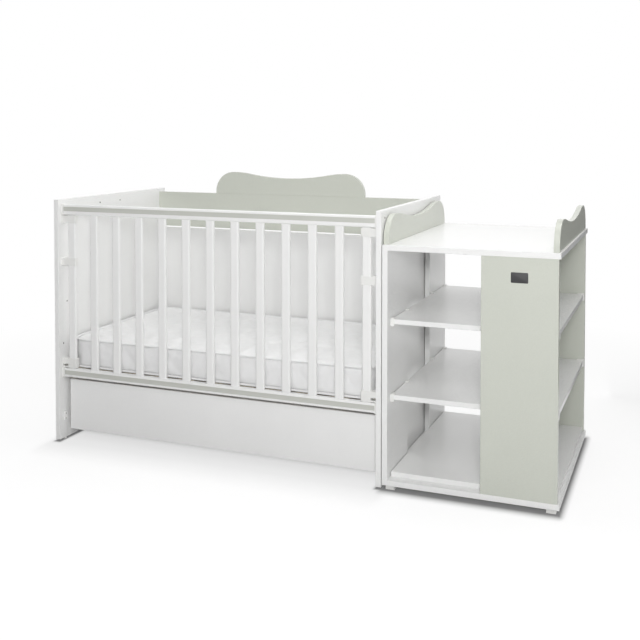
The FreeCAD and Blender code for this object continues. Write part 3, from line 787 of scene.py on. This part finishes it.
def puffed_by_cloth():
    """Where air pressure takes the cover in a short simulation."""
    cloth = mattress.modifiers.new("cloth", "CLOTH")
    cloth.settings.use_pressure = True
    cloth.settings.uniform_pressure_force = AIR_PRESSURE
    cloth.settings.shrink_min = -SPARE_CLOTH
    cloth.settings.effector_weights.gravity = 0.0
    cloth.settings.vertex_group_mass = "stitched"
    cloth.collision_settings.use_collision = False
    for number in range(1, CLOTH_FRAMES + 1):
        scene.frame_set(number)
    graph = bpy.context.evaluated_depsgraph_get()
    moved = [vertex.co.copy() for vertex in mattress.evaluated_get(graph).data.vertices]
    mattress.modifiers.clear()
    scene.frame_set(1)
    return moved


moved_points = puffed_by_cloth()
largest = 0.0
for vertex, start, moved in zip(mattress.data.vertices, start_points, moved_points):
    shift = moved - start
    largest = max(largest, shift.length)
    if shift.length > PUFF_LIMIT:
        shift = shift.normalized() * PUFF_LIMIT
    vertex.co = start + shift
print("quilted", len(start_points), "points, largest puff", round(largest * 1000, 1), "mm before the cap")

# %% [markdown]
# ## Mattress: the cotton cover
# The cover is a plain cotton weave, bleached white, with a soft sheen. Two crossed Wave textures at about
# a millimetre make the weave as a bump, which costs far less than real threads. One level of subdivision
# rounds the cells off, and the cover then takes the place of the plain mattress.

# %% Cotton finish and cover
COVER_WHITE = (0.85, 0.85, 0.85)
PIPING_WHITE = (0.86, 0.86, 0.86)
COVER_THREAD = 0.0009
PIPING_THREAD = 0.0007
# A Wave texture of scale 1 repeats after this length.
WAVE_REPEAT = 0.314


def cotton(name, colour, pitch):
    """Plain weave with a soft sheen and threads at a pitch."""
    material, tree, shader = start_finish(name, roughness=0.85, sheen_weight=0.25, sheen_roughness=0.5)
    place = own_place(tree)
    threads = []
    for direction in ("X", "Y"):
        wave = add_node(tree, "ShaderNodeTexWave", {
            "Vector": place, "Scale": WAVE_REPEAT / pitch, "Distortion": 0.6},
            wave_type="BANDS", bands_direction=direction)
        threads.append(wave.outputs["Fac"])
    weave = maths(tree, "MAXIMUM", threads[0], threads[1])
    vary_colour(tree, shader, noise(tree, scale=40.0, detail=3.0), colour, spread=0.015)
    raise_bump(tree, shader, weave, depth=0.00006, strength=0.6)
    return material


finishes["mattress_cover"] = cotton("white cotton", COVER_WHITE, COVER_THREAD)
piping_finish = cotton("white piping", PIPING_WHITE, PIPING_THREAD)
mattress.data.materials.clear()
mattress.data.materials.append(finishes["mattress_cover"])
softened = mattress.modifiers.new("soft", "SUBSURF")
softened.levels = 1
softened.render_levels = 1
cover_mesh = applied_mesh(mattress)
mattress.modifiers.clear()
mattress.vertex_groups.clear()
mattress.data = cover_mesh
cover_mesh.polygons.foreach_set("use_smooth", [True] * len(cover_mesh.polygons))
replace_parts(mattress, "mattress")
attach(mattress, "frame")
print("cover", len(cover_mesh.polygons), "faces")

# %% [markdown]
# ## Mattress: piping
# A corded piping closes the cover at its upper and lower edge. It could be a bevelled curve, but Curve to
# Mesh keeps the radius as a named input of the tree: a small circle follows the outline of the mattress.

# %% Piping round both edges
PIPING_RADIUS = 0.0042
PIPING_SIDES = 12
# Each run is an inset and a height above the slats.
PIPING_RUNS = ((0.0, 0.0043), (0.0025, 0.1035))


def poly_curve(name, lines, closed):
    """Curve of straight runs through each list of points."""
    curve = bpy.data.curves.new(name, "CURVE")
    curve.dimensions = "3D"
    for points in lines:
        spline = curve.splines.new("POLY")
        spline.points.add(len(points) - 1)
        for item, point in zip(spline.points, points):
            item.co = (*point, 1.0)
        spline.use_cyclic_u = closed
    return curve


def piping_tree():
    """Tree that makes a round tube along a curve."""
    tree, sockets = start_tree("piping", {
        "Radius": ("Float", PIPING_RADIUS), "Material": ("Material", None)})
    round_line = add_node(tree, "GeometryNodeCurvePrimitiveCircle", {
        "Resolution": PIPING_SIDES, "Radius": sockets["Radius"]})
    tube = add_node(tree, "GeometryNodeCurveToMesh", {
        "Curve": sockets["Geometry"], "Profile Curve": round_line.outputs[0]})
    end_tree(tree, tube.outputs[0], sockets["Material"])
    return tree


piping_lines = [[(x, y, mattress_low.z + height) for x, y in mattress_outline(inset)]
                for inset, height in PIPING_RUNS]
piping = run_tree("mattress_piping", poly_curve("piping_lines", piping_lines, True), piping_tree(),
                  {"Radius": PIPING_RADIUS, "Material": piping_finish})
smooth_by_angle(piping, 60.0)
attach(piping, "frame")
print("piping", len(piping.data.polygons), "faces")

# %% [markdown]
# ## Mattress: thread
# Thread runs along the quilt lines in short stitches. The cover is uneven, so the height of a stitch
# isn't known beforehand: the lines are drawn above the mattress, a tree spaces points along them and
# Raycast drops each point on the cover. A stretched little ball on each point is enough for a stitch of
# half a millimetre.

# %% Tree of the stitches
STITCH_SIZES = {"Pitch": 0.007, "Length": 0.0046, "Thread": 0.0005}
RAY_LENGTH = 0.2


def stitch_tree():
    """Tree that drops stitches from a curve on a cover."""
    inputs = {label: ("Float", size) for label, size in STITCH_SIZES.items()}
    tree, sockets = start_tree("quilt stitches", {
        "Cover": ("Object", None), **inputs, "Material": ("Material", None)})
    spread = add_node(tree, "GeometryNodeCurveToPoints", {
        "Curve": sockets["Geometry"], "Length": sockets["Pitch"]}, mode="LENGTH")
    cover = add_node(tree, "GeometryNodeObjectInfo", {"Object": sockets["Cover"]})
    hit = add_node(tree, "GeometryNodeRaycast", {
        "Target Geometry": cover.outputs["Geometry"], "Ray Direction": (0.0, 0.0, -1.0),
        "Ray Length": RAY_LENGTH}, data_type="FLOAT")
    laid = add_node(tree, "GeometryNodeSetPosition", {
        "Geometry": spread.outputs["Points"], "Position": hit.outputs["Hit Position"],
        "Selection": hit.outputs["Is Hit"]})
    thread = add_node(tree, "GeometryNodeMeshUVSphere", {"Segments": 6, "Rings": 4, "Radius": 1.0})
    half_length = maths(tree, "MULTIPLY", sockets["Length"], 0.5)
    size = add_node(tree, "ShaderNodeCombineXYZ", {
        0: sockets["Thread"], 1: sockets["Thread"], 2: half_length})
    placed = add_node(tree, "GeometryNodeInstanceOnPoints", {
        "Points": laid.outputs[0], "Instance": thread.outputs[0],
        "Rotation": spread.outputs["Rotation"], "Scale": size.outputs[0]})
    end_tree(tree, placed.outputs[0], sockets["Material"])
    return tree


thread_tree = stitch_tree()
print("stitch tree", len(thread_tree.nodes), "nodes")

# %% Stitches along the quilt lines
ROWS_EACH_WAY = 5
LINE_STEP = 0.006
LINE_MARGIN = 0.022
LINE_LIFT = 0.05
FEWEST_POINTS = 3
line_half = mattress_size.x / 2 - LINE_MARGIN
line_steps = int(2 * line_half / LINE_STEP)
row_reach = mattress_size.y / 2 - LINE_MARGIN
line_height = mattress_high.z + LINE_LIFT


def row_runs(row):
    """Runs of points of a row's stitch line that lie on top of the mattress."""
    runs = [[]]
    for step in range(line_steps + 1):
        along = 2 * line_half * step / line_steps - line_half
        across = row_offset(row, along)
        if abs(across) < row_reach:
            runs[-1].append((mattress_middle.x + along, mattress_middle.y + across, line_height))
        elif runs[-1]:
            runs.append([])
    return [run for run in runs if len(run) >= FEWEST_POINTS]


quilt_lines = []
for row in range(-ROWS_EACH_WAY, ROWS_EACH_WAY + 1):
    quilt_lines.extend(row_runs(row))
stitches = run_tree("quilt_stitches", poly_curve("quilt_lines", quilt_lines, False), thread_tree,
                    {**STITCH_SIZES, "Cover": mattress, "Material": piping_finish})
smooth_by_angle(stitches, 80.0)
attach(stitches, "frame")
print("stitches", len(stitches.data.polygons), "faces on", len(quilt_lines), "lines")

# %% [markdown]
# ## Plate on the green front panel
# A small dark metal plate sits near the top of the green panel. It is bare: a thin slab with round
# corners and an eased edge. A rounded outline is extruded and bevelled, which a plain cube could not
# give.

# %% Make the plate
PLATE_WIDTH = 0.052
PLATE_HEIGHT = 0.032
PLATE_THICKNESS = 0.0008
PLATE_CORNER = 0.003
PLATE_CORNER_STEPS = 6
PLATE_EASE = 0.0003
PLATE_MIDDLE_HEIGHT = 0.708
panel_low, panel_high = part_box("unit_front_panel")
plate_x = (panel_low.x + panel_high.x) / 2
plate = bmesh.new()
outline = []
for turn, (way_x, way_z) in enumerate(((1, 1), (-1, 1), (-1, -1), (1, -1))):
    corner_x = plate_x + way_x * (PLATE_WIDTH / 2 - PLATE_CORNER)
    corner_z = PLATE_MIDDLE_HEIGHT + way_z * (PLATE_HEIGHT / 2 - PLATE_CORNER)
    for step in range(PLATE_CORNER_STEPS + 1):
        angle = math.radians(90 * (turn + step / PLATE_CORNER_STEPS))
        outline.append(plate.verts.new((corner_x + PLATE_CORNER * math.cos(angle), panel_low.y,
                                        corner_z + PLATE_CORNER * math.sin(angle))))
flat = plate.faces.new(outline)
raised = bmesh.ops.extrude_face_region(plate, geom=[flat])["geom"]
bmesh.ops.translate(plate, vec=(0.0, -PLATE_THICKNESS, 0.0),
                    verts=[item for item in raised if isinstance(item, bmesh.types.BMVert)])
bmesh.ops.recalc_face_normals(plate, faces=plate.faces)
halfway = panel_low.y - PLATE_THICKNESS / 2
rim = [edge for edge in plate.edges if all(vertex.co.y < halfway for vertex in edge.verts)]
bmesh.ops.bevel(plate, geom=rim, offset=PLATE_EASE, segments=2, profile=0.5, affect="EDGES")
plate_mesh = bpy.data.meshes.new("front_plate")
plate.to_mesh(plate_mesh)
plate.free()
plate_mesh.materials.append(dark_metal)
front_plate = add_object("front_plate", plate_mesh)
smooth_by_angle(front_plate, 35.0)
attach(front_plate, "frame")
print("plate", len(plate_mesh.polygons), "faces")

# %% [markdown]
# ## Studio: the floor
# The crib stands on a white sweep. Close to its footprint the floor's colour and glow are painted darker,
# a painted shadow with a dark line under each end panel, and the lamps' real shadows fall on it as well.
# The drawer's front stands back between the panels, so the floor before it keeps only a pale shadow: the
# real shadow, lifted by a glow that is painted dimmer towards the crib. Further out the floor fades to
# plain white, which only the camera, clear reflections and glass see. A plain lit floor would need far
# more light to look white, and that light would wash out the crib.

# %% Where the floor's painted shadows lie
FADE_LENGTH = 0.07
CRIB_FADE = (3.0, 0.5, 0.0)
UNIT_FADE = (3.0, 1.4, 0.0)
PANEL_FADE = (5.0, 4.0, 0.0)
FRONT_RECESS = 0.25
BACK_RECESS = 0.11
# Glow of the pale painted shadow under the crib, rising to the outer level further out.
PAINTED_PALE_UNDER = 0.66
PALE_LIFT = 0.8
PALE_LENGTH = 0.16
PALE_FADE = (4.0, 1.0, 0.0)
floor_finish = bpy.data.materials.new("white sweep")
floor_finish.use_nodes = True
floor_tree = floor_finish.node_tree
floor_tree.nodes.clear()
floor_place = own_place(floor_tree)


def vector_maths(tree, operation, first, second=(0.0, 0.0, 0.0)):
    """Output of a Vector Math node."""
    return add_node(tree, "ShaderNodeVectorMath", {0: first, 1: second}, operation=operation).outputs[0]


def length_of(tree, vector):
    """Length of a vector."""
    return add_node(tree, "ShaderNodeVectorMath", {0: vector}, operation="LENGTH").outputs["Value"]


def distance_outside(low, high, stretch):
    """Distance of a floor point from a rectangle, with each axis stretched."""
    offset = vector_maths(floor_tree, "SUBTRACT", floor_place, (low + high) / 2)
    reach = vector_maths(floor_tree, "ABSOLUTE", offset)
    beyond = vector_maths(floor_tree, "SUBTRACT", reach, (high - low) / 2)
    outside = vector_maths(floor_tree, "MAXIMUM", beyond)
    return length_of(floor_tree, vector_maths(floor_tree, "MULTIPLY", outside, stretch))


whole_low, whole_high = Vector(cad_box[0]), Vector(cad_box[1])
unit_low, unit_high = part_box("unit_base")
under_low = whole_low + Vector((0.0, FRONT_RECESS, 0.0))
under_high = Vector((unit_low.x, whole_high.y - BACK_RECESS, 0.0))
distance = maths(floor_tree, "MINIMUM", distance_outside(unit_low, unit_high, UNIT_FADE),
                 distance_outside(under_low, under_high, CRIB_FADE))
for node in END_PANELS:
    distance = maths(floor_tree, "MINIMUM", distance, distance_outside(*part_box(node), PANEL_FADE))
# Painted shadow: the nearer a point lies to a footprint, the darker its colour and glow are painted.
fade = remap(floor_tree, distance, 0.0, 1.0, start=0.0, end=FADE_LENGTH)
crib_corner = Vector((unit_low.x, whole_high.y, 0.0))
pale_distance = distance_outside(whole_low, crib_corner, PALE_FADE)
# Painted pale shadow: the floor's glow dims towards the crib.
painted_pale_glow = remap(floor_tree, pale_distance, PAINTED_PALE_UNDER, PALE_LIFT, start=0.0, end=PALE_LENGTH)
print("shadow of", 2 + len(END_PANELS), "footprints,", len(floor_tree.nodes), "nodes")

# %% Shade the floor
FLOOR_HALF = 30.0
FLOOR_DROP = 0.0003
FLOOR_LIFT = 0.1
# Colour of the painted shadow right at a footprint.
PAINTED_SHADE_UNDER = 0.2
FLOOR_OPEN = 0.85
FLOOR_BOUNCE = (0.8, 0.8, 0.8, 1.0)
PALE_SHADE = (0.25, 0.25, 0.25, 1.0)
WHITE_START = 1.5
WHITE_END = 2.6


def seen_directly(tree):
    """1 for camera rays, clear reflections and transmission, 0 for the light that fills shade."""
    path = add_node(tree, "ShaderNodeLightPath").outputs
    mirrored = maths(tree, "MAXIMUM", path["Is Glossy Ray"], path["Is Transmission Ray"])
    return maths(tree, "MAXIMUM", path["Is Camera Ray"], mirrored)


def matt(tree, colour):
    """Matt surface that takes light and shadow."""
    return add_node(tree, "ShaderNodeBsdfDiffuse", {"Color": colour}).outputs[0]


def lifted_matt(tree, colour, level):
    """Matt surface made lighter by an even glow, so that shadows on it stay pale."""
    glow = add_node(tree, "ShaderNodeEmission", {"Strength": level})
    return add_node(tree, "ShaderNodeAddShader", {0: matt(tree, colour), 1: glow.outputs[0]}).outputs[0]


def mix_shaders(tree, factor, first, second):
    """Shader between two others."""
    return add_node(tree, "ShaderNodeMixShader", {0: factor, 1: first, 2: second}).outputs[0]


def sheet(name, corners):
    """Flat sheet with four corners."""
    mesh = bpy.data.meshes.new(name)
    mesh.from_pydata(corners, [], [(0, 1, 2, 3)])
    return add_object(name, mesh)


# Painted shadow: the floor's own colour darkens near the footprints; the lamps' shadows fall on it too.
painted_close_shade = remap(floor_tree, fade, PAINTED_SHADE_UNDER, FLOOR_OPEN, start=0.0, end=1.0)
painted_contact = lifted_matt(floor_tree, painted_close_shade, FLOOR_LIFT)
pale = lifted_matt(floor_tree, PALE_SHADE, painted_pale_glow)
shadowed = mix_shaders(floor_tree, fade, painted_contact, pale)
white = add_node(floor_tree, "ShaderNodeEmission", {"Strength": 1.0}).outputs[0]
far = remap(floor_tree, length_of(floor_tree, floor_place), 0.0, 1.0, start=WHITE_START, end=WHITE_END)
visible = mix_shaders(floor_tree, far, shadowed, white)
surface = mix_shaders(floor_tree, seen_directly(floor_tree), matt(floor_tree, FLOOR_BOUNCE), visible)
add_node(floor_tree, "ShaderNodeOutputMaterial", {"Surface": surface})
floor = sheet("floor", [(-FLOOR_HALF, -FLOOR_HALF, -FLOOR_DROP), (FLOOR_HALF, -FLOOR_HALF, -FLOOR_DROP),
                        (FLOOR_HALF, FLOOR_HALF, -FLOOR_DROP), (-FLOOR_HALF, FLOOR_HALF, -FLOOR_DROP)])
floor.data.materials.append(floor_finish)
print("floor", len(floor_tree.nodes), "nodes")

# %% [markdown]
# ## Studio: the world
# The background is plain white for the camera, for clear reflections and for glass. For the light that
# falls on the crib it is another world: it glows from behind, which brightens the tops and the edges, and
# a little stray light fills every side. An image of a studio could do the same, but two numbers are
# easier to tune.

# %% Set the world
WORLD_BACK = 1.7
WORLD_STRAY = 0.08
world = bpy.data.worlds.new("studio")
world.use_nodes = True
scene.world = world
world_tree = world.node_tree
direction = add_node(world_tree, "ShaderNodeTexCoord").outputs["Generated"]
backward = add_node(world_tree, "ShaderNodeSeparateXYZ", {0: direction}).outputs["Y"]
from_behind = maths(world_tree, "MULTIPLY", maths(world_tree, "MAXIMUM", backward, 0.0), WORLD_BACK)
fill = maths(world_tree, "ADD", from_behind, WORLD_STRAY)
level = add_node(world_tree, "ShaderNodeMix", {0: seen_directly(world_tree), 2: fill, 3: 1.0}).outputs[0]
background = world_tree.nodes["Background"]
background.inputs["Color"].default_value = (1.0, 1.0, 1.0, 1.0)
world_tree.links.new(level, background.inputs["Strength"])
print("world", len(world_tree.nodes), "nodes")

# %% [markdown]
# ## Studio: the lamps
# A small lamp beside the camera draws the crisp shadows in the shelves, and a broad one in front softens
# them. Two softboxes hang over the crib and the shelf unit and lighten what looks up. Area lamps are used
# because a larger one gives a softer shadow, as a real softbox does.

# %% Hang the lamps
CRIB_MIDDLE = (0.2, 0.0, 0.5)


def soft_lamp(name, place, target, size, power):
    """Square softbox that looks at a point and stays out of the picture."""
    data = bpy.data.lights.new(name, "AREA")
    data.shape = "SQUARE"
    data.size = size
    data.energy = power
    lamp = add_object(name, data)
    lamp.location = place
    lamp.rotation_euler = (Vector(target) - Vector(place)).to_track_quat("-Z", "Y").to_euler()
    lamp.visible_camera = False
    print(name, power, "W")


soft_lamp("small lamp by the camera", (1.42, -3.35, 1.55), CRIB_MIDDLE, size=0.35, power=39.0)
soft_lamp("broad front softbox", (0.9, -3.0, 3.0), CRIB_MIDDLE, size=2.4, power=41.0)
soft_lamp("softbox over the crib", (-0.3, -0.2, 2.6), (-0.3, 0.0, 0.4), size=1.6, power=10.0)
soft_lamp("softbox over the unit", (0.95, -0.1, 2.5), (0.6, 0.0, 0.7), size=1.0, power=8.0)

# %% [markdown]
# ## Studio: a dark card
# Boards seen at a flat angle mirror what is behind them, and a white room would wash them out.
# Photographers stand a dark card outside the picture for that. This one stands behind on the right, so
# that the outer right faces mirror it, and the camera doesn't see it.

# %% Stand the card
CARD_LEFT = 0.95
CARD_RIGHT = 2.2
CARD_Y = 1.0
CARD_TOP = 0.95
CARD_GREY = (0.05, 0.05, 0.05, 1.0)
card = sheet("dark_card", [(CARD_LEFT, CARD_Y, 0.0), (CARD_RIGHT, CARD_Y, 0.0),
                           (CARD_RIGHT, CARD_Y, CARD_TOP), (CARD_LEFT, CARD_Y, CARD_TOP)])
card_finish, *_ = start_finish("dark card", roughness=0.9, base_color=CARD_GREY)
card.data.materials.append(card_finish)
card.visible_camera = False
print("card", round(CARD_RIGHT - CARD_LEFT, 2), "m wide")

# %% [markdown]
# ## The measured box
# The box of the measured model is printed.

# %% Print the measured box
print("cad box", cad_box)
